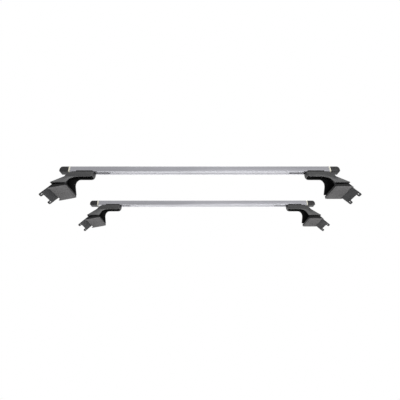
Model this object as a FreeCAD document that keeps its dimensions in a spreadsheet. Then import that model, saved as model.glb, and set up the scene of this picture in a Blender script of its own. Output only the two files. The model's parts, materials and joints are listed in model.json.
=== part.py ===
import FreeCAD, Part
import math
import os
import Sketcher
from collections import namedtuple

# A pair of roof crossbars. +X runs along the bars, +Y to the rear bar, +Z up.
# The origin is under the middle of the pair, on the level of the bracket tips.
# Each foot is drawn in its own frame: x outboard from the middle of its saddle, z from the bar's underside.

# Driving dimensions in millimetres and degrees
SIZES = {
    # bar tubes and their ends
    "bar_length": 1112,
    "bar_width": 30,
    "bar_height": 25,
    "bar_wall": 2,
    "bar_corner": 1,
    "bar_spacing": 338,
    "bar_stagger": 15,
    "ring_width": 6,
    "cap_length": 38,
    "cap_nose": 14,
    "cap_toe": 2,
    "cap_plug": 10,
    "plug_clearance": 0.2,
    "slot_margin": 16,
    "slot_length": 155,
    "slot_width": 8.5,
    # how far each foot's saddle stands in from the bar's end, and how far its shoe leans out
    "front_left_inset": 64,
    "front_right_inset": 60,
    "rear_left_inset": 78,
    "rear_right_inset": 64,
    "front_left_lean": 12,
    "front_right_lean": 0,
    "rear_left_lean": 11,
    "rear_right_lean": 0,
    # saddle gasket
    "gasket_length": 70,
    "gasket_thickness": 3,
    "gasket_lip_height": 4,
    "gasket_clearance": 0.3,
    "window_margin": 3,
    # foot housing
    "housing_wall": 3,
    "flange_width": 34,
    "flange_drop": 25,
    "nose_reach": 44,
    "nose_wall": 8.5,
    "nose_radius": 14,
    "nose_chin": 21,
    "leg_inner": 47,
    "leg_drop": 78,
    "leg_slope": 61,
    "base_reach": 109,
    "base_depth": 116,
    "skirt_height": 3,
    "arch_radius": 26,
    "shoulder_radius": 35,
    "rib_thickness": 2,
    "rib_depth": 8,
    "rib_top_drop": 30,
    "rib_low_drop": 66,
    "rib_first": 21,
    "rib_step": 13,
    "cross_rib_reach": 29,
    "cross_rib_drop": 21,
    # steel inside the foot
    "sheet_thickness": 3,
    "tower_width": 26,
    "tower_setback": 9.5,
    "tower_drop": 75,
    "tower_bend": 34,
    "ear_radius": 8,
    "ear_root_drop": 56,
    "pivot_room": 8.6,
    "pivot_drop": 70,
    "pin_diameter": 8,
    "pin_overhang": 2.5,
    "pin_clearance": 0.08,
    # bolts
    "bolt_diameter": 8,
    "bolt_clearance": 0.25,
    "bolt_end": 1.5,
    "head_across": 13,
    "head_height": 5.3,
    "nut_plate_length": 40,
    "nut_plate_width": 20,
    "nut_plate_thickness": 6,
    "clamp_drop": 46,
    "clamp_nut_height": 5,
    "clamp_slot_length": 10,
    "access_clearance": 2,
    # shoe and roof pad
    "shoe_inner": 48,
    "shoe_outer": 114,
    "shoe_depth": 112,
    "shoe_drop": 94,
    "shoe_heel": 8,
    "shoe_toe": 13,
    "shoe_corner": 3,
    "cheek_reach": 8,
    "cheek_clearance": 1.5,
    "upstand_length": 36,
    "upstand_depth": 92,
    "upstand_drop": 75,
    "hinge_room": 4,
    "lug_clearance": 0.5,
    "rim_width": 10,
    "rim_clearance": 0.3,
    "pad_thickness": 3,
    "pad_tongue": 3,
    "groove_inset": 4,
    "groove_width": 2.5,
    "groove_depth": 1.5,
    # door frame bracket
    "stand": 128,
    "bracket_gap": 0.5,
    "bracket_angle": 46,
    "bracket_width": 95,
    "bracket_bend_drop": 81,
    "tongue_drop": 35,
    "tongue_width": 40,
    "shoulder_gap": 2,
    "prong_width": 21,
    "prong_length": 15,
    "prong_corner": 6,
    "eyelet_diameter": 7,
    "eyelet_setback": 10,
}

Foot = namedtuple("Foot", "name side row")
FEET = (
    Foot("front_left", -1, -1),
    Foot("front_right", 1, -1),
    Foot("rear_left", -1, 1),
    Foot("rear_right", 1, 1),
)
V = FreeCAD.Vector
UP = V(0, 0, 1)
ACROSS = V(0, 1, 0)

doc = FreeCAD.newDocument("crossbars")
sheet = doc.addObject("Spreadsheet::Sheet", "sizes")
for line, (alias, number) in enumerate(SIZES.items(), start=1):
    sheet.set(f"A{line}", alias)
    sheet.set(f"B{line}", str(number))
    sheet.setAlias(f"B{line}", alias)
doc.recompute()


def s(alias):
    return f"sizes.{alias}"


def value(expression):
    return float(sheet.evalExpression(expression.replace("sizes.", "")))


# Sketches: every corner is held by expressions on the sheet

def new_sketch(body, name, plane):
    sketch = body.newObject("Sketcher::SketchObject", name)
    support = [f for f in body.Origin.OriginFeatures if f.Role == plane][0]
    sketch.AttachmentSupport = [(support, "")]
    sketch.MapMode = "FlatFace"
    return sketch


def hold(sketch, geometry, point, x, y):
    for kind, expression in (("DistanceX", x), ("DistanceY", y)):
        datum = Sketcher.Constraint(kind, -1, 1, geometry, point, value(expression))
        sketch.setExpression(f"Constraints[{sketch.addConstraint(datum)}]", expression)


def add_outline(sketch, corners):
    first = sketch.GeometryCount
    points = [V(value(x), value(y), 0) for x, y in corners]
    count = len(points)
    for i in range(count):
        sketch.addGeometry(Part.LineSegment(points[i], points[(i + 1) % count]))
    for i in range(count):
        sketch.addConstraint(Sketcher.Constraint("Coincident", first + i, 2, first + (i + 1) % count, 1))
        hold(sketch, first + i, 1, *corners[i])


def add_circle(sketch, x, y, diameter):
    circle = Part.Circle(V(value(x), value(y), 0), UP, value(diameter) / 2)
    geometry = sketch.addGeometry(circle)
    hold(sketch, geometry, 3, x, y)
    datum = sketch.addConstraint(Sketcher.Constraint("Diameter", geometry, value(diameter)))
    sketch.setExpression(f"Constraints[{datum}]", diameter)


def add_corner(sketch, x, y, radius, high):
    # What comes off a square corner to leave it round: high on the right, or low on the left
    inward = "-" if high else "+"
    middle_x, middle_y = f"({x} {inward} {radius})", f"({y} {inward} {radius})"
    first = sketch.GeometryCount
    corner = V(value(x), value(y), 0)
    on_end, on_side = V(value(middle_x), value(y), 0), V(value(x), value(middle_y), 0)
    circle = Part.Circle(V(value(middle_x), value(middle_y), 0), UP, value(radius))
    start = 0 if high else math.pi
    sketch.addGeometry(Part.LineSegment(on_end, corner))
    sketch.addGeometry(Part.LineSegment(corner, on_side))
    sketch.addGeometry(Part.ArcOfCircle(circle, start, start + math.pi / 2))
    for i in range(3):
        sketch.addConstraint(Sketcher.Constraint("Coincident", first + i, 2, first + (i + 1) % 3, 1))
    hold(sketch, first, 1, middle_x, y)
    hold(sketch, first + 1, 1, x, y)
    hold(sketch, first + 2, 1, x, middle_y)
    datum = sketch.addConstraint(Sketcher.Constraint("Radius", first + 2, value(radius)))
    sketch.setExpression(f"Constraints[{datum}]", radius)


def box_corners(x_low, x_high, y_low, y_high):
    return [(x_low, y_low), (x_high, y_low), (x_high, y_high), (x_low, y_high)]


# PartDesign features

def new_body(name):
    body = doc.addObject("PartDesign::Body", name)
    body.Label = name
    return body


def pad_both_ways(body, name, sketch, length):
    pad = body.newObject("PartDesign::Pad", name)
    pad.Profile = sketch
    pad.SideType = "Symmetric"
    pad.setExpression("Length", length)
    doc.recompute()
    return pad


def pad_outline(body, name, plane, corners, length):
    sketch = new_sketch(body, name + "_sketch", plane)
    add_outline(sketch, corners)
    return pad_both_ways(body, name, sketch, length)


def pocket_both_ways(body, name, sketch, length=None):
    before = body.Shape.Volume
    pocket = body.newObject("PartDesign::Pocket", name)
    pocket.Profile = sketch
    pocket.SideType = "Symmetric"
    if length:
        pocket.setExpression("Length", length)
    else:
        pocket.Type = "ThroughAll"
    doc.recompute()
    if not body.Shape.Volume < before:
        raise RuntimeError(f"{body.Label}: {name} cut nothing")
    return pocket


def pocket_outlines(body, name, plane, outlines, length=None):
    sketch = new_sketch(body, name + "_sketch", plane)
    for corners in outlines:
        add_outline(sketch, corners)
    return pocket_both_ways(body, name, sketch, length)


def pocket_circles(body, name, plane, circles, length=None):
    sketch = new_sketch(body, name + "_sketch", plane)
    for circle in circles:
        add_circle(sketch, *circle)
    return pocket_both_ways(body, name, sketch, length)


def dress_edges(body, kind, name, wanted):
    base = body.Tip
    edges = [f"Edge{i}" for i, edge in enumerate(base.Shape.Edges, start=1) if wanted(edge)]
    dressing = body.newObject(kind, name)
    dressing.Base = (base, edges)
    return dressing


def round_edges(body, name, radius, wanted):
    fillet = dress_edges(body, "PartDesign::Fillet", name, wanted)
    fillet.setExpression("Radius", radius)
    doc.recompute()


def bevel_edges(body, name, size, wanted):
    chamfer = dress_edges(body, "PartDesign::Chamfer", name, wanted)
    chamfer.setExpression("Size", size)
    doc.recompute()


def runs_along(edge, direction):
    if edge.Degenerated or not isinstance(edge.Curve, Part.Line):
        return False
    return edge.Curve.Direction.cross(direction).Length < 1e-6


def passes(edge, x=None, y=None, z=None):
    middle = edge.CenterOfMass
    wanted = ((middle.x, x), (middle.y, y), (middle.z, z))
    return all(expression is None or abs(at - value(expression)) < 1e-3 for at, expression in wanted)


# Plain solids

def cylinder(name, diameter, length):
    solid = doc.addObject("Part::Cylinder", name)
    solid.setExpression("Radius", f"({diameter}) / 2")
    solid.setExpression("Height", length)
    return solid


def hexagon(name, across, height):
    solid = doc.addObject("Part::Prism", name)
    solid.Polygon = 6
    solid.setExpression("Circumradius", f"({across}) / sqrt(3)")
    solid.setExpression("Height", height)
    return solid


def move(solid, x="0", y="0", z="0"):
    for axis, expression in zip("xyz", (x, y, z)):
        solid.setExpression(f"Placement.Base.{axis}", expression)


def turn_about_y(solid, angle):
    solid.Placement.Rotation = FreeCAD.Rotation(ACROSS, 1)
    solid.setExpression("Placement.Rotation.Angle", angle)


def cut(name, base, tools):
    result = doc.addObject("Part::Cut", name)
    result.Label = name
    result.Base = base
    result.Tool = tools[0] if len(tools) == 1 else fuse(name + "_tools", tools)
    doc.recompute()
    return result


def fuse(name, solids):
    result = doc.addObject("Part::MultiFuse", name)
    result.Label = name
    result.Shapes = solids
    doc.recompute()
    return result


# Lines that several pieces of a foot share

def wall_x(drop, inset):
    lean = f"({s('leg_drop')} - ({drop})) / tan({s('leg_slope')})"
    return f"{s('base_reach')} - {lean} - ({inset}) / sin({s('leg_slope')})"


HALF_BASE = f"{s('base_depth')} / 2"
HALF_FLANGE = f"{s('flange_width')} / 2"
ROOF_DROP = f"({s('gasket_thickness')} + {s('housing_wall')})"
PLATE_DROP = f"({ROOF_DROP} + {s('sheet_thickness')})"
TONGUE_OUTSIDE = f"({s('housing_wall')} + {s('bracket_gap')})"
TONGUE_INSIDE = f"({TONGUE_OUTSIDE} + {s('sheet_thickness')})"
TOWER_INSIDE = f"({TONGUE_INSIDE} + {s('sheet_thickness')})"
LUG_WIDTH = f"({s('tower_width')} - 2 * {s('sheet_thickness')} - 2 * {s('lug_clearance')})"
EAR_GAP = f"({s('tower_width')} - 2 * {s('sheet_thickness')})"
PIVOT_X = f"({wall_x(s('pivot_drop'), TOWER_INSIDE)} - {s('ear_radius')} - {s('pivot_room')})"


def saddle_window(margin):
    # A square hole round the saddle bolt
    half = f"({s('bolt_diameter')} / 2 + {margin})"
    return box_corners("-" + half, half, "-" + half, half)


def clamp_point(inset):
    # Where the clamp bolt's axis crosses the sheet at this inset from the leg's outer face
    along_x = f"{wall_x(s('clamp_drop'), '0')} - ({inset}) * sin({s('leg_slope')})"
    along_z = f"-{s('clamp_drop')} - ({inset}) * cos({s('leg_slope')})"
    return along_x, along_z


def clamp_slot(inset):
    # An upright slot for the clamp bolt in the sheet whose outer face is at this inset
    half = f"({s('bolt_diameter')} / 2 + {s('bolt_clearance')})"
    middle = clamp_point(f"{inset} + {s('sheet_thickness')} / 2")[1]
    reach = f"{s('clamp_slot_length')} / 2"
    return box_corners("-" + half, half, f"{middle} - {reach}", f"{middle} + {reach}")


def put_on_clamp_axis(solid, inset):
    x, z = clamp_point(inset)
    move(solid, x=x, z=z)
    turn_about_y(solid, s("leg_slope"))


# The bar and its ends

HALF_BAR = f"{s('bar_width')} / 2"


def bar_section(body, name, length, inner=None):
    sketch = new_sketch(body, name + "_sketch", "YZ_Plane")
    add_outline(sketch, box_corners("-" + HALF_BAR, HALF_BAR, "0", s("bar_height")))
    if inner:
        add_outline(sketch, inner)
    return pad_both_ways(body, name, sketch, length)


def bevel_section(body):
    def outer_corner(edge):
        return runs_along(edge, V(1, 0, 0)) and any(
            passes(edge, y=y, z=z) for y in (HALF_BAR, "-" + HALF_BAR) for z in ("0", s("bar_height"))
        )

    bevel_edges(body, "corners", s("bar_corner"), outer_corner)


def tube_inside(clearance="0"):
    side = f"({s('bar_width')} / 2 - {s('bar_wall')} - {clearance})"
    low = f"{s('bar_wall')} + {clearance}"
    high = f"{s('bar_height')} - {s('bar_wall')} - {clearance}"
    return box_corners("-" + side, side, low, high)


def make_bar(name):
    body = new_body(name)
    bar_section(body, "tube", s("bar_length"), tube_inside())
    bevel_section(body)
    half = f"{s('slot_width')} / 2"
    end = f"({s('bar_length')} / 2 - {s('slot_margin')} - {half})"
    start = f"({end} - {s('slot_length')} + {s('slot_width')})"
    depth = f"3 * {s('bar_wall')}"
    runs = [box_corners(start, end, "-" + half, half), box_corners("-" + end, "-" + start, "-" + half, half)]
    pocket_outlines(body, "slots", "XY_Plane", runs, depth)
    ends = [(x, "0", s("slot_width")) for x in (start, end, "-" + start, "-" + end)]
    pocket_circles(body, "slot_ends", "XY_Plane", ends, depth)
    return body


def make_ring(name):
    body = new_body(name)
    bar_section(body, "ring", s("ring_width"), tube_inside())
    bevel_section(body)
    return body


def make_cap(name):
    # Drawn with its middle at x = 0 and its nose to +X, the plug reaching back through the ring
    body = new_body(name)
    bar_section(body, "shell", s("cap_length"))
    bevel_section(body)
    tip = f"{s('cap_length')} / 2"
    nose = new_sketch(body, "nose_sketch", "XZ_Plane")
    add_corner(nose, tip, s("bar_height"), s("cap_nose"), True)
    pocket_both_ways(body, "nose", nose)

    def toe_edge(edge):
        return runs_along(edge, ACROSS) and passes(edge, x=tip, z="0")

    bevel_edges(body, "toe", s("cap_toe"), toe_edge)
    sketch = new_sketch(body, "plug_sketch", "YZ_Plane")
    add_outline(sketch, tube_inside(s("plug_clearance")))
    plug = body.newObject("PartDesign::Pad", "plug")
    plug.Profile = sketch
    plug.setExpression("Length", f"{s('cap_length')} / 2 + {s('ring_width')} + {s('cap_plug')}")
    plug.Reversed = True
    doc.recompute()
    return body


# The foot

def make_gasket(name):
    body = new_body(name)
    outside = HALF_FLANGE
    inside = f"({s('bar_width')} / 2 + {s('gasket_clearance')})"
    section = [
        (f"-{outside}", f"-{s('gasket_thickness')}"),
        (outside, f"-{s('gasket_thickness')}"),
        (outside, s("gasket_lip_height")),
        (inside, s("gasket_lip_height")),
        (inside, "0"),
        (f"-{inside}", "0"),
        (f"-{inside}", s("gasket_lip_height")),
        (f"-{outside}", s("gasket_lip_height")),
    ]
    pad_outline(body, "saddle", "YZ_Plane", section, s("gasket_length"))
    pocket_outlines(body, "bolt_window", "XY_Plane", [saddle_window(s("window_margin"))])
    return body


def housing_blank(name, inset, foot_drop, open_below):
    # The outer form, or with an inset the hollow inside it: a side profile trimmed by a flared front profile
    body = new_body(name)
    top = f"-({s('gasket_thickness')} + {inset})"
    nose = f"-({s('nose_reach')} - {s('nose_wall')})" if open_below else f"-{s('nose_reach')}"
    bottom = f"-({foot_drop})"
    side = [
        (nose, top),
        (wall_x(f"{s('gasket_thickness')} + {inset}", inset), top),
        (wall_x(foot_drop, inset), bottom),
    ]
    if open_below:
        side.append((nose, bottom))
    else:
        side += [
            (s("leg_inner"), bottom),
            (s("leg_inner"), f"-{s('flange_drop')}"),
            (nose, f"-{s('flange_drop')}"),
        ]
    pad_outline(body, "side", "XZ_Plane", side, s("base_depth"))

    def shoulder(edge):
        return runs_along(edge, ACROSS) and passes(edge, x=side[1][0], z=top)

    def arch(edge):
        return runs_along(edge, ACROSS) and passes(edge, x=s("leg_inner"), z=f"-{s('flange_drop')}")

    round_edges(body, "shoulder", f"{s('shoulder_radius')} - {inset}", shoulder)
    if not open_below:
        round_edges(body, "arch", s("arch_radius"), arch)
    half_flange = f"({HALF_FLANGE} - {inset})"
    half_base = f"({HALF_BASE} - {inset})"
    beyond = s("base_depth")
    skirt_top = f"-({s('leg_drop')} - {s('skirt_height')})"
    flare = [
        (half_flange, s("gasket_thickness")),
        (half_flange, f"-{s('flange_drop')}"),
        (half_base, skirt_top),
        (half_base, f"{bottom} - {s('skirt_height')}"),
        (beyond, f"{bottom} - {s('skirt_height')}"),
        (beyond, s("gasket_thickness")),
    ]
    mirrored = [("-" + y, z) for y, z in flare]
    pocket_outlines(body, "flare", "YZ_Plane", [flare, mirrored])

    def nose_corner(edge):
        return runs_along(edge, UP) and passes(edge, x=nose)

    if not open_below:
        round_edges(body, "nose_corners", s("nose_radius"), nose_corner)
        chin = new_sketch(body, "chin_sketch", "XZ_Plane")
        add_corner(chin, nose, f"-{s('flange_drop')}", s("nose_chin"), False)
        pocket_both_ways(body, "chin", chin)
    return body


def wall_ribs(name):
    # Upright ribs on the inside of the leg's outer wall, on both sides of the tower
    top, low = s("rib_top_drop"), s("rib_low_drop")
    outer = f"{s('housing_wall')} / 2"
    inner = f"{s('housing_wall')} + {s('rib_depth')}"
    profile = [
        (wall_x(top, outer), f"-{top}"),
        (wall_x(low, outer), f"-{low}"),
        (wall_x(low, inner), f"-{low}"),
        (wall_x(top, inner), f"-{top}"),
    ]
    ribs = []
    for number in (0, 1):
        for side in (-1, 1):
            body = new_body(f"{name}_rib_{number}_{side + 1}")
            pad_outline(body, "rib", "XZ_Plane", profile, s("rib_thickness"))
            move(body, y=f"{side} * ({s('rib_first')} + {number} * {s('rib_step')})")
            ribs.append(body)
    return ribs


def cross_ribs(name):
    # Ribs across the saddle arm, one on each side of the bolt, under the tower's plate
    ribs = []
    top = f"-({PLATE_DROP} + {s('pin_clearance')})"
    for side in ("-", ""):
        middle = f"{side}{s('cross_rib_reach')}"
        half = f"{s('rib_thickness')} / 2"
        body = new_body(f"{name}_cross_rib{len(ribs)}")
        section = box_corners(f"{middle} - {half}", f"{middle} + {half}", f"-{s('cross_rib_drop')}", top)
        pad_outline(body, "rib", "XZ_Plane", section, s("flange_width"))
        ribs.append(body)
    return ribs


def make_housing(name):
    form = housing_blank(name + "_form", "0", s("leg_drop"), False)
    pocket_outlines(form, "bolt_window", "XY_Plane", [saddle_window(s("window_margin"))])
    below = f"({s('leg_drop')} + {s('skirt_height')})"
    hollow = housing_blank(name + "_hollow", s("housing_wall"), below, True)
    hollow = cut(name + "_ribbed_hollow", hollow, wall_ribs(name) + cross_ribs(name))
    access = hexagon(
        name + "_access",
        f"{s('head_across')} + 2 * {s('access_clearance')}",
        f"4 * {s('housing_wall')}",
    )
    put_on_clamp_axis(access, f"2 * {s('housing_wall')}")
    return cut(name, form, [hollow, access])


def make_tower(name):
    body = new_body(name)
    outer = TONGUE_INSIDE
    start = f"-({s('nose_reach')} - {s('tower_setback')})"
    profile = [
        (start, f"-{ROOF_DROP}"),
        (wall_x(ROOF_DROP, outer), f"-{ROOF_DROP}"),
        (wall_x(s("tower_drop"), outer), f"-{s('tower_drop')}"),
        (wall_x(s("tower_drop"), TOWER_INSIDE), f"-{s('tower_drop')}"),
        (wall_x(PLATE_DROP, TOWER_INSIDE), f"-{PLATE_DROP}"),
        (start, f"-{PLATE_DROP}"),
    ]
    pad_outline(body, "strip", "XZ_Plane", profile, s("tower_width"))

    def bend(corner):
        x, z = profile[corner]
        return lambda edge: runs_along(edge, ACROSS) and passes(edge, x=x, z=z)

    round_edges(body, "outer_bend", s("tower_bend"), bend(1))
    round_edges(body, "inner_bend", f"{s('tower_bend')} - {s('sheet_thickness')}", bend(4))
    ear_low = f"-({s('pivot_drop')} + {s('ear_radius')})"
    root_top = (wall_x(s("ear_root_drop"), TOWER_INSIDE), f"-{s('ear_root_drop')}")
    root_low = (wall_x(s("tower_drop"), TOWER_INSIDE), f"-{s('tower_drop')}")
    ear = [
        root_top,
        root_low,
        (PIVOT_X, ear_low),
        (f"{PIVOT_X} - {s('ear_radius')}", f"-{s('pivot_drop')} - {s('ear_radius')} / 2"),
        (f"{PIVOT_X} - {s('ear_radius')}", f"-{s('pivot_drop')} + {s('ear_radius')} / 2"),
    ]
    pad_outline(body, "ears", "XZ_Plane", ear, s("tower_width"))
    between = [
        root_top,
        root_low,
        (PIVOT_X, f"{ear_low} - {s('ear_radius')}"),
        (f"{PIVOT_X} - 2 * {s('ear_radius')}", f"{ear_low} - {s('ear_radius')}"),
        (f"{PIVOT_X} - 2 * {s('ear_radius')}", f"-{s('ear_root_drop')}"),
    ]
    pocket_outlines(body, "ear_gap", "XZ_Plane", [between], EAR_GAP)
    pin_bore = f"{s('pin_diameter')} + 2 * {s('pin_clearance')}"
    pocket_circles(body, "pin_holes", "XZ_Plane", [(PIVOT_X, f"-{s('pivot_drop')}", pin_bore)])
    plate_reach = f"2 * {PLATE_DROP} + 2 * {s('sheet_thickness')}"
    pocket_outlines(body, "bolt_hole", "XY_Plane", [saddle_window(s("bolt_clearance"))], plate_reach)
    pocket_outlines(body, "clamp_slot", "YZ_Plane", [clamp_slot(TONGUE_INSIDE)])
    return body


def make_saddle_bolt(name):
    head = hexagon(name + "_head", s("head_across"), s("head_height"))
    move(head, z=f"-{PLATE_DROP} - {s('head_height')}")
    reach = f"{PLATE_DROP} + {s('bar_wall')} + {s('nut_plate_thickness')} + {s('bolt_end')}"
    shank = cylinder(name + "_shank", s("bolt_diameter"), reach)
    move(shank, z=f"-{PLATE_DROP}")
    return fuse(name, [head, shank])


def make_nut_plate(name):
    body = new_body(name)
    low = s("bar_wall")
    high = f"{s('bar_wall')} + {s('nut_plate_thickness')}"
    half = f"{s('nut_plate_width')} / 2"
    pad_outline(body, "plate", "YZ_Plane", box_corners("-" + half, half, low, high), s("nut_plate_length"))
    tapped = ("0", "0", f"{s('bolt_diameter')} + 2 * {s('pin_clearance')}")
    pocket_circles(body, "tapped_hole", "XY_Plane", [tapped])
    return body


def make_pivot_pin(name):
    body = new_body(name)
    sketch = new_sketch(body, "pin_sketch", "XZ_Plane")
    add_circle(sketch, PIVOT_X, f"-{s('pivot_drop')}", s("pin_diameter"))
    pad_both_ways(body, "pin", sketch, f"{s('tower_width')} + 2 * {s('pin_overhang')}")
    return body


def make_clamp_bolt(name):
    head = hexagon(name + "_head", s("head_across"), s("head_height"))
    put_on_clamp_axis(head, TONGUE_OUTSIDE)
    nut_end = f"{TOWER_INSIDE} + {s('clamp_nut_height')} + {s('bolt_end')}"
    shank = cylinder(name + "_shank", s("bolt_diameter"), f"{nut_end} - {TONGUE_OUTSIDE}")
    put_on_clamp_axis(shank, nut_end)
    return fuse(name, [head, shank])


def make_clamp_nut(name):
    nut = hexagon(name + "_hexagon", s("head_across"), s("clamp_nut_height"))
    put_on_clamp_axis(nut, f"{TOWER_INSIDE} + {s('clamp_nut_height')}")
    bore = cylinder(
        name + "_bore",
        f"{s('bolt_diameter')} + 2 * {s('pin_clearance')}",
        f"2 * {s('clamp_nut_height')}",
    )
    put_on_clamp_axis(bore, f"{TOWER_INSIDE} + 1.5 * {s('clamp_nut_height')}")
    return cut(name, nut, [bore])


# The bracket: a tongue along the leg's outer wall, a bend, and a plate that ends in two prongs

def bracket_profile():
    half_turn = f"(({s('leg_slope')} - {s('bracket_angle')}) / 2)"
    mean = f"(({s('leg_slope')} + {s('bracket_angle')}) / 2)"
    skew = f"{s('sheet_thickness')} / cos({half_turn})"
    bend_x = wall_x(s("bracket_bend_drop"), TONGUE_OUTSIDE)
    bend_z = f"-{s('bracket_bend_drop')}"
    inner_bend = (f"{bend_x} - {skew} * sin({mean})", f"{bend_z} - {skew} * cos({mean})")
    tip_x = f"{inner_bend[0]} + ({inner_bend[1]} + {s('stand')}) / tan({s('bracket_angle')})"
    inner_tip = (tip_x, f"-{s('stand')}")
    outer_tip = (
        f"{tip_x} + {s('sheet_thickness')} * sin({s('bracket_angle')})",
        f"-{s('stand')} + {s('sheet_thickness')} * cos({s('bracket_angle')})",
    )
    tongue_top = f"-{s('tongue_drop')}"
    return [
        (wall_x(s("tongue_drop"), TONGUE_OUTSIDE), tongue_top),
        (bend_x, bend_z),
        outer_tip,
        inner_tip,
        inner_bend,
        (wall_x(s("tongue_drop"), TONGUE_INSIDE), tongue_top),
    ]


def eyelet_point(setback):
    # On the plate's inner face, this far up from the prong's end
    x, z = bracket_profile()[3]
    return f"{x} - ({setback}) * cos({s('bracket_angle')})", f"{z} + ({setback}) * sin({s('bracket_angle')})"


def make_bracket(name):
    body = new_body(name + "_sheet")
    pad_outline(body, "sheet", "XZ_Plane", bracket_profile(), s("bracket_width"))
    half_tongue = f"{s('tongue_width')} / 2"
    edge = s("bracket_width")
    shoulder = f"-({s('leg_drop')} + {s('shoulder_gap')})"
    beside = box_corners(half_tongue, edge, shoulder, "0")
    beside_far = box_corners("-" + edge, "-" + half_tongue, shoulder, "0")
    gap = f"({s('bracket_width')} / 2 - {s('prong_width')})"
    gap_top = f"-{s('stand')} + {s('prong_length')} * sin({s('bracket_angle')})"
    fork = box_corners("-" + gap, gap, f"-{s('stand')} - {s('sheet_thickness')}", gap_top)
    pocket_outlines(body, "shape", "YZ_Plane", [beside, beside_far, fork, clamp_slot(TONGUE_OUTSIDE)])

    tip_top = value(f"-{s('stand')} + {s('sheet_thickness')}")

    def prong_corner(edge):
        return edge.BoundBox.YLength < 1e-6 and edge.BoundBox.ZMax < tip_top

    round_edges(body, "prong_corners", s("prong_corner"), prong_corner)
    drills = []
    for number, sign in enumerate(("-", ""), start=1):
        drill = cylinder(f"{name}_eyelet_{number}", s("eyelet_diameter"), f"3 * {s('sheet_thickness')}")
        x, z = eyelet_point(s("eyelet_setback"))
        back = s("sheet_thickness")
        move(
            drill,
            f"{x} - {back} * sin({s('bracket_angle')})",
            f"{sign}({s('bracket_width')} - {s('prong_width')}) / 2",
            f"{z} - {back} * cos({s('bracket_angle')})",
        )
        turn_about_y(drill, s("bracket_angle"))
        drills.append(drill)
    return cut(name, body, drills)


# The shoe and its pad are drawn about the pivot pin

SHOE_LOW = f"-({s('shoe_drop')} - {s('pivot_drop')})"
PAD_LOW = f"({SHOE_LOW} - {s('pad_thickness')})"
SHOE_INNER = f"({s('shoe_inner')} - {PIVOT_X})"
PAD_OUTER = f"({s('shoe_outer')} - {PIVOT_X})"


def toe_x(rise):
    # The toe's face leans in as the bracket's plate does
    return f"{PAD_OUTER} - ({rise}) / tan({s('bracket_angle')})"


def cheek_x(rise):
    # The shoe's cheeks stand out past the toe, one on each side of the bracket
    return f"{toe_x(rise)} + {s('cheek_reach')}"


def notch_toe(body):
    low = f"-{s('pad_thickness')}"
    high = f"({s('pad_thickness')} + 2 * {s('shoe_toe')})"
    notch = [
        (toe_x(low), f"{PAD_LOW} + {low}"),
        (f"{cheek_x(low)} + {s('cheek_reach')}", f"{PAD_LOW} + {low}"),
        (f"{cheek_x(high)} + {s('cheek_reach')}", f"{PAD_LOW} + {high}"),
        (toe_x(high), f"{PAD_LOW} + {high}"),
    ]
    width = f"{s('bracket_width')} + 2 * {s('cheek_clearance')}"
    pocket_outlines(body, "bracket_notch", "XZ_Plane", [notch], width)


def corner_edge(edge):
    box = edge.BoundBox
    return box.YLength < 1e-6 and box.ZLength > 1e-3 and box.XLength < 2 * box.ZLength


def make_shoe(name):
    body = new_body(name)
    wedge = [
        (SHOE_INNER, SHOE_LOW),
        (cheek_x(s("pad_thickness")), SHOE_LOW),
        (cheek_x(f"{s('pad_thickness')} + {s('shoe_toe')}"), f"{SHOE_LOW} + {s('shoe_toe')}"),
        (SHOE_INNER, f"{SHOE_LOW} + {s('shoe_heel')}"),
    ]
    pad_outline(body, "wedge", "XZ_Plane", wedge, s("shoe_depth"))
    bevel_edges(body, "corners", s("shoe_corner"), corner_edge)
    notch_toe(body)
    hinge_side = f"({s('tower_width')} / 2 + {s('hinge_room')})"
    upstand_side = f"({s('upstand_depth')} / 2)"
    rise = f"-({s('upstand_drop')} - {s('pivot_drop')})"
    root = f"{SHOE_LOW} + {s('shoe_heel')} / 2"
    upstands = new_sketch(body, "upstands_sketch", "YZ_Plane")
    add_outline(upstands, box_corners(hinge_side, upstand_side, root, rise))
    add_outline(upstands, box_corners("-" + upstand_side, "-" + hinge_side, root, rise))
    pad_both_ways(body, "upstands", upstands, s("upstand_length"))
    lug = box_corners(f"-{s('ear_radius')}", s("ear_radius"), root, "0")
    pad_outline(body, "lug", "XZ_Plane", lug, LUG_WIDTH)
    eye = new_sketch(body, "lug_eye_sketch", "XZ_Plane")
    add_circle(eye, "0", "0", f"2 * {s('ear_radius')}")
    pad_both_ways(body, "lug_eye", eye, LUG_WIDTH)
    bore = ("0", "0", f"{s('pin_diameter')} + 2 * {s('pin_clearance')}")
    pocket_circles(body, "pin_bore", "XZ_Plane", [bore])
    recess = box_corners(
        f"{SHOE_INNER} + {s('rim_width')}",
        f"{toe_x(s('pad_thickness'))} - {s('rim_width')}",
        f"{SHOE_LOW} - {s('pad_tongue')}",
        f"{SHOE_LOW} + {s('pad_tongue')}",
    )
    pocket_outlines(body, "recess", "XZ_Plane", [recess], f"{s('shoe_depth')} - 2 * {s('rim_width')}")
    return body


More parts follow.
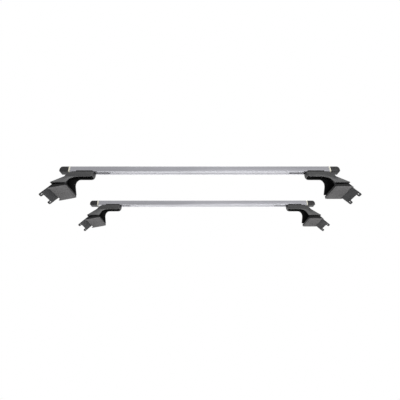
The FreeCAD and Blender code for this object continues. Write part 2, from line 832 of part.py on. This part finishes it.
def make_pad(name):
    body = new_body(name)
    slab = [
        (SHOE_INNER, PAD_LOW),
        (cheek_x("0"), PAD_LOW),
        (cheek_x(s("pad_thickness")), SHOE_LOW),
        (SHOE_INNER, SHOE_LOW),
    ]
    pad_outline(body, "slab", "XZ_Plane", slab, s("shoe_depth"))
    bevel_edges(body, "corners", s("shoe_corner"), corner_edge)
    notch_toe(body)
    margin = f"({s('rim_width')} + {s('rim_clearance')})"
    tongue = box_corners(
        f"{SHOE_INNER} + {margin}",
        f"{toe_x(s('pad_thickness'))} - {margin}",
        SHOE_LOW,
        f"{SHOE_LOW} + {s('pad_tongue')}",
    )
    pad_outline(body, "tongue", "XZ_Plane", tongue, f"{s('shoe_depth')} - 2 * {margin}")
    start = f"{SHOE_INNER} + {s('groove_inset')}"
    groove = box_corners(
        start,
        f"{start} + {s('groove_width')}",
        f"{PAD_LOW} - {s('groove_depth')}",
        f"{PAD_LOW} + {s('groove_depth')}",
    )
    pocket_outlines(body, "groove", "XZ_Plane", [groove], s("shoe_depth"))
    return body


# Where the pieces go

def bar_origin(row):
    return V(row * value(s("bar_stagger")) / 2, row * value(s("bar_spacing")) / 2, value(s("stand")))


def half_turn(side):
    return FreeCAD.Rotation(UP, 0 if side > 0 else 180)


def place_on_bar(piece, row, side, reach):
    origin = bar_origin(row) + V(side * reach, 0, 0)
    piece.Placement = FreeCAD.Placement(origin, half_turn(side))


def station(foot):
    return value(f"{s('bar_length')} / 2 - {s(foot.name + '_inset')}")


def place_on_pivot(piece, foot):
    reach = station(foot) + value(PIVOT_X)
    origin = bar_origin(foot.row) + V(foot.side * reach, 0, -value(s("pivot_drop")))
    lean = FreeCAD.Rotation(ACROSS, value(s(foot.name + "_lean")))
    piece.Placement = FreeCAD.Placement(origin, half_turn(foot.side).multiply(lean))


FOOT_PIECES = {
    "gasket": make_gasket,
    "housing": make_housing,
    "tower": make_tower,
    "saddle_bolt": make_saddle_bolt,
    "nut_plate": make_nut_plate,
    "pivot_pin": make_pivot_pin,
    "bracket": make_bracket,
    "clamp_bolt": make_clamp_bolt,
    "clamp_nut": make_clamp_nut,
}
SHOE_PIECES = {"shoe": make_shoe, "roof_pad": make_pad}

nodes = []
for bar_name, row in (("front", -1), ("rear", 1)):
    bar = make_bar(f"{bar_name}_bar")
    place_on_bar(bar, row, 1, 0)
    nodes.append(bar)
    ring_reach = value(f"({s('bar_length')} + {s('ring_width')}) / 2")
    cap_reach = value(f"({s('bar_length')} + {s('cap_length')}) / 2 + {s('ring_width')}")
    for side_name, side in (("left", -1), ("right", 1)):
        ring = make_ring(f"{bar_name}_{side_name}_ring")
        place_on_bar(ring, row, side, ring_reach)
        cap = make_cap(f"{bar_name}_{side_name}_end_cap")
        place_on_bar(cap, row, side, cap_reach)
        nodes += [ring, cap]

for foot in FEET:
    for piece_name, make in FOOT_PIECES.items():
        piece = make(f"{foot.name}_{piece_name}")
        place_on_bar(piece, foot.row, foot.side, station(foot))
        nodes.append(piece)
    for piece_name, make in SHOE_PIECES.items():
        piece = make(f"{foot.name}_{piece_name}")
        place_on_pivot(piece, foot)
        nodes.append(piece)

doc.recompute()
for made in doc.Objects:
    if "Invalid" in made.State or "Error" in made.State:
        raise RuntimeError(f"{made.Label} failed: {made.State}")
for node in nodes:
    if node.Shape.isNull() or not node.Shape.isValid():
        raise RuntimeError(f"{node.Label} has no sound solid")

os.makedirs("parts", exist_ok=True)
for node in nodes:
    node.Shape.exportStep(f"parts/{node.Label}.step")
print(f"wrote {len(nodes)} pieces")
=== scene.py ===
import json
import math
import bpy
import bmesh
from mathutils import Matrix, Vector
from mathutils.bvhtree import BVHTree


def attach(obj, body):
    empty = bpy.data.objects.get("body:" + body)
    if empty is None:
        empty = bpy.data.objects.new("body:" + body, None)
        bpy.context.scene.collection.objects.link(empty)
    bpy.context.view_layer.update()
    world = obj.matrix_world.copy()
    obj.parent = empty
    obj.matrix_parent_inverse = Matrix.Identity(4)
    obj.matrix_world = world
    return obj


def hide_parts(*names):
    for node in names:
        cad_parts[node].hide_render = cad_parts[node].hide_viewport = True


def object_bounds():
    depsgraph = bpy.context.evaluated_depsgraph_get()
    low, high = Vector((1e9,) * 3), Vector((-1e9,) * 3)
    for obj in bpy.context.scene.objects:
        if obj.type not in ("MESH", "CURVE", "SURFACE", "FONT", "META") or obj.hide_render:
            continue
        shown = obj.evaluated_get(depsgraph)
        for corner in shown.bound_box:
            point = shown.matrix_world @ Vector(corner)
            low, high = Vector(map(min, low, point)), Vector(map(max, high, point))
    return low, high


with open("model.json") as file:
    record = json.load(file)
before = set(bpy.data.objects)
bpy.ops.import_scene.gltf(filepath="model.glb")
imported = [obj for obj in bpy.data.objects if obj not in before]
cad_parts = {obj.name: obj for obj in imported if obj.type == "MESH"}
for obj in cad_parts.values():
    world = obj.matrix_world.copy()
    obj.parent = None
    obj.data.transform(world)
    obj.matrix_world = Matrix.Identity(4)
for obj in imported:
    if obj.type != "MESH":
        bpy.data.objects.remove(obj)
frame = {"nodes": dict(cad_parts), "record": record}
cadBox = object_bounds()
nodes = frame["nodes"]
record = frame["record"]
slotOf = {part["node"]: part["material_slot"] for part in record["subparts"]}
bodyOf = {node: body for body, group in record["behaviour"]["bodies"].items() for node in group}
mountOf = {mount["name"]: mount for mount in record["mounts"]}
feet = ("front_left", "front_right", "rear_left", "rear_right")
mm = 0.001
print("frame loaded:", len(nodes), "nodes")


def linear(code):
    parts = [int(code[i:i + 2], 16) / 255 for i in (1, 3, 5)]
    return tuple(p / 12.92 if p <= 0.04045 else ((p + 0.055) / 1.055) ** 2.4 for p in parts) + (1.0,)


def addNode(tree, kind, values=None, links=None, **settings):
    node = tree.nodes.new(kind)
    for key, value in settings.items():
        setattr(node, key, value)
    for key, value in (values or {}).items():
        node.inputs[key].default_value = value
    for key, source in (links or {}).items():
        tree.links.new(source, node.inputs[key])
    return node


# Each finish: two shades, a paler shade for edges as rubbed wear and painted highlight, shader constants, and its
# grain and cloud in millimetres
finishes = {
    "bar_aluminium": dict(  # anodised drawn aluminium: satin, with faint die lines along the bar
        name="anodisedAluminium", dark="#949499", light="#9c9ca1", rubAndHighlight="#b4b4b8",
        metallic=0.9, rough=(0.3, 0.33),
        grainMm=1.6, stretch=(0.01, 1, 1), cloudMm=180, bumpMm=0.006),
    "ring_plastic": dict(  # moulded cream acetal: pale, waxy, nearly even
        name="creamAcetal", dark="#dcd9c8", light="#e9e6d8", rubAndHighlight="#fbf9f0",
        metallic=0.0, ior=1.48, rough=(0.38, 0.5),
        grainMm=1.2, stretch=(1, 1, 1), cloudMm=25, bumpMm=0.02),
    "cap_plastic": dict(  # moulded black ABS: fine spark grain that spreads the highlight
        name="blackAbs", dark="#0f0f10", light="#161618", rubAndHighlight="#2c2c2e",
        metallic=0.0, ior=1.4, rough=(0.42, 0.56),
        grainMm=0.9, stretch=(1, 1, 1), cloudMm=40, bumpMm=0.05),
    "housing_plastic": dict(  # glass filled nylon: black with a grey bloom where the moulding flowed
        name="filledNylon", dark="#0b0b0c", light="#141416", rubAndHighlight="#2e2e30",
        metallic=0.0, ior=1.6, rough=(0.40, 0.54),
        grainMm=1.1, stretch=(1, 1, 1), cloudMm=45, bumpMm=0.06),
    "housing_hollow_painted_shade": dict(  # the same nylon on the faces in the hollow, painted darker and duller as painted shade
        name="paintedShadeNylon", dark="#0b0b0c", light="#121213", rubAndHighlight="#1a1a1b",
        metallic=0.0, ior=1.25, rough=(0.78, 0.92),
        grainMm=1.1, stretch=(1, 1, 1), cloudMm=45, bumpMm=0.06),
    "gasket_rubber": dict(  # black EPDM: dull, with a powdery bloom
        name="blackRubber", dark="#101011", light="#19191a", rubAndHighlight="#242425",
        metallic=0.0, ior=1.45, rough=(0.72, 0.86),
        grainMm=0.8, stretch=(1, 1, 1), cloudMm=20, bumpMm=0.04),
    "tower_steel": dict(  # dip coated steel: smooth black skin with soft orange peel
        name="blackDipCoat", dark="#111112", light="#1a1a1c", rubAndHighlight="#2c2c2e",
        metallic=0.0, ior=1.5, rough=(0.36, 0.5),
        grainMm=2.4, stretch=(1, 1, 1), cloudMm=30, bumpMm=0.05),
    "bolt_steel": dict(  # black zinc plated steel: sooty, with a faint metal sheen
        name="blackZincPlate", dark="#28282a", light="#37373a", rubAndHighlight="#6a6a6c",
        metallic=0.6, rough=(0.34, 0.5),
        grainMm=1.5, stretch=(1, 1, 1), cloudMm=12, bumpMm=0.02),
    "bracket_steel": dict(  # powder coated steel: dark grey with orange peel
        name="greyPowderCoat", dark="#28282a", light="#313133", rubAndHighlight="#4c4c4e",
        metallic=0.0, ior=1.4, rough=(0.62, 0.74),
        grainMm=1.8, stretch=(1, 1, 1), cloudMm=35, bumpMm=0.06),
    "shoe_plastic": dict(  # moulded polypropylene: dark and dull
        name="darkPolypropylene", dark="#0a0a0b", light="#111112", rubAndHighlight="#232325",
        metallic=0.0, ior=1.3, rough=(0.56, 0.7),
        grainMm=1.1, stretch=(1, 1, 1), cloudMm=30, bumpMm=0.05),
    "pad_rubber": dict(  # grey thermoplastic rubber: matt, with edges painted paler as rubbed wear and painted highlight
        name="greyRubber", dark="#656465", light="#6c6b6c", rubAndHighlight="#7c7b7c",
        metallic=0.0, ior=1.4, rough=(0.86, 0.95),
        grainMm=0.9, stretch=(1, 1, 1), cloudMm=22, bumpMm=0.05),
}

# Pattern: how fine the noises are, the spans of them that reach from one shade or gloss to the other, and the bump
pattern = dict(grainDetail=3.0, cloudDetail=4.0, toneSpan=(0.75, 1.25), glossSpan=(0.3, 0.7), bumpStrength=0.35)

# Wear and painted highlight: edges are painted a little paler, in patches, as rubbed wear and as the highlight
# edges catch
wearAndHighlight = dict(reachMm=1.4, flatCosine=0.985, edgeCosine=0.8, most=1.5, samples=8)


def makeFinish(finish):
    paint = bpy.data.materials.new(finish["name"])
    paint.use_nodes = True
    tree = paint.node_tree
    shader = tree.nodes["Principled BSDF"]
    shader.inputs["Metallic"].default_value = finish["metallic"]
    if "ior" in finish:
        shader.inputs["IOR"].default_value = finish["ior"]
    place = addNode(tree, "ShaderNodeTexCoord").outputs["Object"]
    drawn = addNode(tree, "ShaderNodeMapping", {"Scale": finish["stretch"]}, {"Vector": place}).outputs["Vector"]
    # The real grain is too fine to show, so it is drawn coarser
    grain = addNode(tree, "ShaderNodeTexNoise",
                    {"Scale": 1 / (finish["grainMm"] * mm), "Detail": pattern["grainDetail"]},
                    {"Vector": drawn}).outputs["Fac"]
    cloud = addNode(tree, "ShaderNodeTexNoise",
                    {"Scale": 1 / (finish["cloudMm"] * mm), "Detail": pattern["cloudDetail"]},
                    {"Vector": place}).outputs["Fac"]
    blend = addNode(tree, "ShaderNodeMath", links={0: grain, 1: cloud}).outputs["Value"]
    toneFrom, toneTo = pattern["toneSpan"]
    shade = addNode(tree, "ShaderNodeMapRange", {"From Min": toneFrom, "From Max": toneTo},
                    {"Value": blend}).outputs["Result"]
    tone = addNode(tree, "ShaderNodeValToRGB", links={"Fac": shade})
    tone.color_ramp.elements[0].color = linear(finish["dark"])
    tone.color_ramp.elements[1].color = linear(finish["light"])

    # Edges are painted paler in patches: partly rubbed wear, partly painted highlight
    facing = addNode(tree, "ShaderNodeNewGeometry").outputs["Normal"]
    rounded = addNode(tree, "ShaderNodeBevel", {"Radius": wearAndHighlight["reachMm"] * mm}, samples=wearAndHighlight["samples"])
    turned = addNode(tree, "ShaderNodeVectorMath", links={0: facing, 1: rounded.outputs["Normal"]},
                     operation="DOT_PRODUCT").outputs["Value"]
    edge = addNode(tree, "ShaderNodeMapRange",
                   {"From Min": wearAndHighlight["flatCosine"], "From Max": wearAndHighlight["edgeCosine"], "To Max": wearAndHighlight["most"]},
                   {"Value": turned}).outputs["Result"]
    patchy = addNode(tree, "ShaderNodeMath", links={0: edge, 1: cloud}, operation="MULTIPLY").outputs["Value"]
    wornAndHighlit = addNode(tree, "ShaderNodeMixRGB", {"Color2": linear(finish["rubAndHighlight"])},
                   {"Fac": patchy, "Color1": tone.outputs["Color"]})

    glossFrom, glossTo = pattern["glossSpan"]
    smooth, rough = finish["rough"]
    gloss = addNode(tree, "ShaderNodeMapRange",
                    {"From Min": glossFrom, "From Max": glossTo, "To Min": smooth, "To Max": rough},
                    {"Value": grain})
    bump = addNode(tree, "ShaderNodeBump",
                   {"Strength": pattern["bumpStrength"], "Distance": finish["bumpMm"] * mm}, {"Height": grain})
    tree.links.new(wornAndHighlit.outputs["Color"], shader.inputs["Base Color"])
    tree.links.new(gloss.outputs["Result"], shader.inputs["Roughness"])
    tree.links.new(bump.outputs["Normal"], shader.inputs["Normal"])
    return paint


finishOf = {slot: makeFinish(finish) for slot, finish in finishes.items()}
for name, piece in nodes.items():
    piece.data.materials.clear()
    piece.data.materials.append(finishOf[slotOf[name]])
print("finishes made:", len(finishOf))

# Softened pieces: no moulded, pressed or extruded edge is dead sharp, so each piece is shown with rounded edges
softening = dict(creaseDeg=32, flatDeg=0.4, mergeMm=0.002, segments=2, radiusMm=dict(
    bar=0.35, ring=0.35, end_cap=0.9, gasket=0.4, housing=0.8, tower=0.5, saddle_bolt=0.5, nut_plate=0.4,
    pivot_pin=0.5, bracket=0.6, clamp_bolt=0.5, clamp_nut=0.4, shoe=0.8, roof_pad=0.7))

# Hollow: how far off a face of the housing, and how far to front and back, its walls are looked for
hollow = dict(standOffMm=1, reachMm=120)


def settle(piece, place=None):
    mesh = bpy.data.meshes.new_from_object(piece.evaluated_get(bpy.context.evaluated_depsgraph_get()))
    form = bmesh.new()
    form.from_mesh(mesh)
    bmesh.ops.dissolve_degenerate(form, edges=form.edges, dist=softening["mergeMm"] * mm)
    form.to_mesh(mesh)
    form.free()
    if place:
        mesh.transform(place)
        if place.determinant() < 0:
            mesh.flip_normals()
    mesh.shade_smooth()
    mesh.set_sharp_from_angle(angle=math.radians(softening["creaseDeg"]))
    piece.modifiers.clear()
    piece.data = mesh


def newPiece(name, mesh):
    piece = bpy.data.objects.new(name, mesh)
    bpy.context.scene.collection.objects.link(piece)
    return piece


def markHollow(form):
    # A face of the shell lies in its hollow if there is wall in front of it and behind it; those faces get the
    # painted shade
    tree = BVHTree.FromBMesh(form)
    for face in form.faces:
        start = face.calc_center_median() + face.normal * hollow["standOffMm"] * mm
        walls = [tree.ray_cast(start, Vector((0, way, 0)), hollow["reachMm"] * mm)[0] for way in (-1, 1)]
        face.material_index = int(None not in walls)


def soften(node):
    kind = next(kind for kind in softening["radiusMm"] if node.endswith(kind))
    mesh = nodes[node].data.copy()
    form = bmesh.new()
    form.from_mesh(mesh)
    bmesh.ops.remove_doubles(form, verts=form.verts, dist=softening["mergeMm"] * mm)
    flat = math.radians(softening["flatDeg"])
    bmesh.ops.dissolve_limit(form, angle_limit=flat, verts=form.verts, edges=form.edges)
    if kind == "housing":
        # Faces in the hollow take a darker, duller copy of the nylon: painted shade
        mesh.materials.append(finishOf["housing_hollow_painted_shade"])
        markHollow(form)
    form.to_mesh(mesh)
    form.free()
    piece = newPiece("soft_" + node, mesh)
    rounding = piece.modifiers.new("rounding", "BEVEL")
    rounding.width = softening["radiusMm"][kind] * mm
    rounding.segments = softening["segments"]
    rounding.limit_method = "ANGLE"
    rounding.angle_limit = math.radians(softening["creaseDeg"])
    settle(piece)
    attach(piece, bodyOf[node])
    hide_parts(node)


for name in nodes:
    soften(name)
print("pieces softened:", len(nodes))

# Pad tread: rows of low moulded pips on the face that meets the roof
tread = dict(marginMm=(14, 9), pitchMm=2.8, radiusMm=0.8, topShare=0.6, heightMm=0.2, sides=8)


def padFrame(foot):
    # The pad's own axes: outboard, back and down, with their origin on its underside
    face = mountOf[foot + "_pad_face"]
    down = Vector(face["axis"])
    back = Vector((0, 1, 0))
    out = back.cross(down) if foot.endswith("left") else down.cross(back)
    return Matrix((out, back, down)).transposed(), Vector(face["pos_m"])


def makeTreadTree():
    tree = bpy.data.node_groups.new("padTread", "GeometryNodeTree")
    for name in ("Length", "Depth", "Pitch", "Radius", "Height"):
        tree.interface.new_socket(name, in_out="INPUT", socket_type="NodeSocketFloat")
    tree.interface.new_socket("Finish", in_out="INPUT", socket_type="NodeSocketMaterial")
    tree.interface.new_socket("Tread", in_out="OUTPUT", socket_type="NodeSocketGeometry")
    given = addNode(tree, "NodeGroupInput").outputs
    across = addNode(tree, "ShaderNodeMath", links={0: given["Length"], 1: given["Pitch"]}, operation="DIVIDE")
    along = addNode(tree, "ShaderNodeMath", links={0: given["Depth"], 1: given["Pitch"]}, operation="DIVIDE")
    grid = addNode(tree, "GeometryNodeMeshGrid", links={
        "Size X": given["Length"], "Size Y": given["Depth"],
        "Vertices X": across.outputs["Value"], "Vertices Y": along.outputs["Value"]})
    top = addNode(tree, "ShaderNodeMath", {1: tread["topShare"]}, {0: given["Radius"]}, operation="MULTIPLY")
    pip = addNode(tree, "GeometryNodeMeshCone", {"Vertices": tread["sides"]}, {
        "Radius Top": top.outputs["Value"], "Radius Bottom": given["Radius"], "Depth": given["Height"]})
    rows = addNode(tree, "GeometryNodeInstanceOnPoints",
                   links={"Points": grid.outputs["Mesh"], "Instance": pip.outputs["Mesh"]})
    solid = addNode(tree, "GeometryNodeRealizeInstances", links={"Geometry": rows.outputs["Instances"]})
    finished = addNode(tree, "GeometryNodeSetMaterial",
                       links={"Geometry": solid.outputs["Geometry"], "Material": given["Finish"]})
    addNode(tree, "NodeGroupOutput", links={"Tread": finished.outputs["Geometry"]})
    return tree


def makeTread(foot, tree):
    pad = foot + "_roof_pad"
    turn, origin = padFrame(foot)
    corners = [turn.transposed() @ (v.co - origin) for v in nodes[pad].data.vertices]
    under = [c for c in corners if abs(c.z) < tread["heightMm"] * mm]
    spans = [(min(c[i] for c in under), max(c[i] for c in under)) for i in (0, 1)]
    size = [high - low - 2 * margin * mm for (low, high), margin in zip(spans, tread["marginMm"])]
    middle = Vector([(low + high) / 2 for low, high in spans] + [0])
    piece = newPiece(foot + "_tread", bpy.data.meshes.new(foot + "_tread"))
    grow = piece.modifiers.new("tread", "NODES")
    grow.node_group = tree
    inputs = dict(Length=size[0], Depth=size[1], Pitch=tread["pitchMm"] * mm, Radius=tread["radiusMm"] * mm,
                  Height=tread["heightMm"] * mm, Finish=finishOf["pad_rubber"])
    for socket in tree.interface.items_tree:
        if socket.in_out == "INPUT":
            grow[socket.identifier] = inputs[socket.name]
    settle(piece, Matrix.Translation(origin + turn @ middle) @ turn.to_4x4())
    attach(piece, bodyOf[pad])


treadTree = makeTreadTree()
for foot in feet:
    makeTread(foot, treadTree)
print("treads made:", len(feet))

# Floor: pale from above and fading into the white all round, clear from below, because the photograph looks up
floorPlan = dict(halfWidth=6.0, fadeFrom=1.0, fadeTo=3.6, dropMm=0.5, colour="#e6e6e4")


def makeFloor():
    mesh = bpy.data.meshes.new("floor")
    half = floorPlan["halfWidth"]
    level = cadBox[0].z - floorPlan["dropMm"] * mm
    corners = [(-half, -half, level), (half, -half, level), (half, half, level), (-half, half, level)]
    mesh.from_pydata(corners, [], [(0, 1, 2, 3)])
    floor = newPiece("floor", mesh)
    paint = bpy.data.materials.new("paleFloor")
    paint.use_nodes = True
    tree = paint.node_tree
    tree.nodes.clear()
    matt = addNode(tree, "ShaderNodeBsdfDiffuse", {"Color": linear(floorPlan["colour"])})
    clear = addNode(tree, "ShaderNodeBsdfTransparent")
    behind = addNode(tree, "ShaderNodeNewGeometry").outputs["Backfacing"]
    rays = addNode(tree, "ShaderNodeLightPath").outputs
    place = addNode(tree, "ShaderNodeTexCoord").outputs["Object"]
    away = addNode(tree, "ShaderNodeVectorMath", links={0: place}, operation="LENGTH").outputs["Value"]
    fade = addNode(tree, "ShaderNodeMapRange",
                   {"From Min": floorPlan["fadeFrom"], "From Max": floorPlan["fadeTo"]},
                   {"Value": away}, interpolation_type="SMOOTHSTEP").outputs["Result"]
    unseen = addNode(tree, "ShaderNodeMath", links={0: rays["Is Shadow Ray"], 1: rays["Is Glossy Ray"]},
                     operation="MAXIMUM").outputs["Value"]
    hidden = addNode(tree, "ShaderNodeMath", links={0: behind, 1: unseen}, operation="MAXIMUM").outputs["Value"]
    through = addNode(tree, "ShaderNodeMath", links={0: fade, 1: hidden}, operation="MAXIMUM").outputs["Value"]
    mixed = addNode(tree, "ShaderNodeMixShader",
                    links={0: through, 1: matt.outputs["BSDF"], 2: clear.outputs["BSDF"]})
    addNode(tree, "ShaderNodeOutputMaterial", links={"Surface": mixed.outputs["Shader"]})
    mesh.materials.append(paint)


makeFloor()

# Studio: white all round for the eye, metal and glass, soft lamps above and below
studio = dict(fill=0.32, colour="#ffffff", lamps=(  # name, place, aim, width and height, watts, spread in degrees
    ("overhead", (0.0, -0.6, 2.6), (0, 0, 0.1), (2.4, 2.4), 40, 180),
    ("front", (0.9, -2.5, 0.3), (0, 0, 0.1), (2.4, 0.5), 6, 70),
    ("below", (0.5, -0.6, -2.2), (0, 0, 0.1), (2.0, 2.0), 34, 180),
    ("sheen", (0.0, 3.2, -1.55), (0, 0, 0.13), (5.0, 1.2), 41, 180),
))


def makeStudio():
    world = bpy.data.worlds.new("studio")
    bpy.context.scene.world = world
    world.use_nodes = True
    tree = world.node_tree
    tree.nodes.clear()
    rays = addNode(tree, "ShaderNodeLightPath").outputs
    mirrored = addNode(tree, "ShaderNodeMath", links={0: rays["Is Glossy Ray"], 1: rays["Is Transmission Ray"]},
                       operation="MAXIMUM").outputs["Value"]
    eye = addNode(tree, "ShaderNodeMath", links={0: rays["Is Camera Ray"], 1: mirrored},
                  operation="MAXIMUM").outputs["Value"]
    strength = addNode(tree, "ShaderNodeMapRange", {"To Min": studio["fill"], "To Max": 1.0}, {"Value": eye})
    light = addNode(tree, "ShaderNodeBackground", {"Color": linear(studio["colour"])},
                    {"Strength": strength.outputs["Result"]})
    addNode(tree, "ShaderNodeOutputWorld", links={"Surface": light.outputs["Background"]})
    for name, at, aim, size, watts, spreadDeg in studio["lamps"]:
        lamp = bpy.data.lights.new(name, "AREA")
        lamp.shape = "RECTANGLE"
        lamp.size, lamp.size_y = size
        lamp.energy = watts
        lamp.spread = math.radians(spreadDeg)
        holder = bpy.data.objects.new(name, lamp)
        holder.location = at
        holder.rotation_euler = (Vector(aim) - Vector(at)).to_track_quat("-Z", "Y").to_euler()
        bpy.context.scene.collection.objects.link(holder)


makeStudio()

# Camera: below and in front of the pair, looking up along +Y
view = dict(at=(-0.0059, -1.235, -0.518), pitchDeg=25.88, lensMm=25.9, sensorMm=36.0)
camera = bpy.data.objects.new("camera", bpy.data.cameras.new("camera"))
camera.location = view["at"]
camera.rotation_euler = (math.radians(90 + view["pitchDeg"]), 0, 0)
camera.data.lens = view["lensMm"]
camera.data.sensor_width = view["sensorMm"]
bpy.context.scene.collection.objects.link(camera)
bpy.context.scene.camera = camera
bpy.context.scene.view_settings.view_transform = "Standard"
print("studio and camera set")
